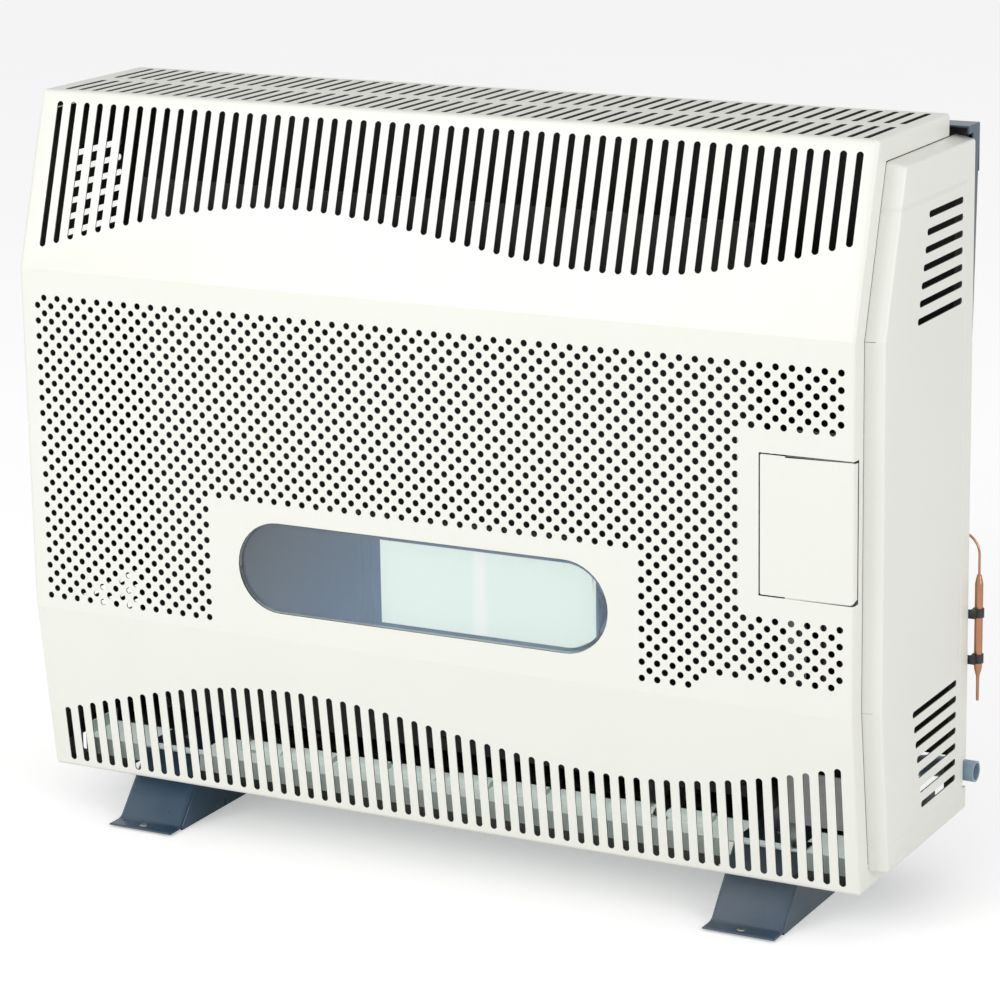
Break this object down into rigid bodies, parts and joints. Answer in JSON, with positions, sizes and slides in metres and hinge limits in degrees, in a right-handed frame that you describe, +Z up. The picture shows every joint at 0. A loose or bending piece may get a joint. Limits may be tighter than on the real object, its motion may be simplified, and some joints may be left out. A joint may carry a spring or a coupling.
{
  "type": "wall mounted gas heater",
  "caption": "Balanced-flue gas room heater with folded perforated cover, glass sight window, hinged control door and two floor feet.",
  "frame": {"origin": "centre of the plan outline, on the floor under the feet", "axes": "+X to the right seen from the front, +Y towards the wall, +Z up"},
  "size_m": [0.8651, 0.26, 0.687],
  "materials": {
    "cover_paint": "satin",
    "navy_paint": "satin",
    "plain_steel": "plain",
    "black_steel": "heat-resistant matt",
    "glass": "clear",
    "glass_print": "fired print",
    "etched_glass": "etched",
    "black_plastic": "matt",
    "red_plastic": "gloss",
    "white_plastic": "matt",
    "valve_cast": "die cast",
    "brass": "plain",
    "copper": "plain",
    "pipe_paint": "satin",
    "ceramic": "glazed",
    "fibre": "woven",
    "aluminium": "plain"
  },
  "bodies": {
    "casing": {"front_cover": "cover_paint", "side_panel_left": "cover_paint", "side_panel_right": "cover_paint", "back_panel": "plain_steel", "wall_bracket": "navy_paint", "base_tray": "plain_steel", "foot_left": "navy_paint", "foot_right": "navy_paint", "foot_screws": "plain_steel", "cover_screws": "plain_steel", "panel_screws": "plain_steel", "window_glass": "glass", "window_mask": "glass_print", "window_diffuser": "etched_glass", "window_retainer": "plain_steel", "window_nuts": "plain_steel", "door_hinge_bracket": "plain_steel", "door_hinge_rod": "plain_steel", "door_catch": "black_plastic", "control_panel": "plain_steel", "gas_valve": "valve_cast", "igniter_body": "white_plastic", "thermostat_bulb": "copper", "capillary": "copper", "bulb_clips": "black_plastic", "inlet_pipe": "pipe_paint", "inlet_nut": "brass", "manifold_pipe": "aluminium", "injector": "brass", "burner_tube": "black_steel", "pilot_burner": "black_steel", "pilot_pipe": "copper", "thermocouple": "copper", "spark_electrode": "ceramic", "ignition_lead": "fibre", "combustion_chamber": "black_steel", "chamber_front": "black_steel", "chamber_gasket": "fibre", "chamber_screws": "plain_steel", "chamber_stands": "plain_steel", "chamber_baffle": "black_steel", "sight_glass": "glass", "sight_frame": "plain_steel", "flue_spigot": "aluminium", "intake_collar": "aluminium", "air_duct": "plain_steel"},
    "door": {"control_door": "cover_paint"},
    "shaft": {"knob_shaft": "brass"},
    "knob": {"control_knob": "black_plastic"},
    "button": {"igniter_button": "red_plastic"}
  },
  "joints": [
    {"name": "door_hinge", "type": "hinge", "parent": "casing", "child": "door", "pos_m": [0.3342, -0.125, 0.3685], "axis": [0, 0, -1], "range_deg": [0, 110]},
    {"name": "knob_push", "type": "slide", "parent": "casing", "child": "shaft", "axis": [0, 1, 0], "range_m": [0, 0.005], "stiffness_N_per_m": 600},
    {"name": "knob_turn", "type": "hinge", "parent": "shaft", "child": "knob", "pos_m": [0.366, -0.098, 0.385], "axis": [0, -1, 0], "range_deg": [0, 270]},
    {"name": "button_push", "type": "slide", "parent": "casing", "child": "button", "axis": [0, 1, 0], "range_m": [0, 0.004], "stiffness_N_per_m": 500}
  ]
}
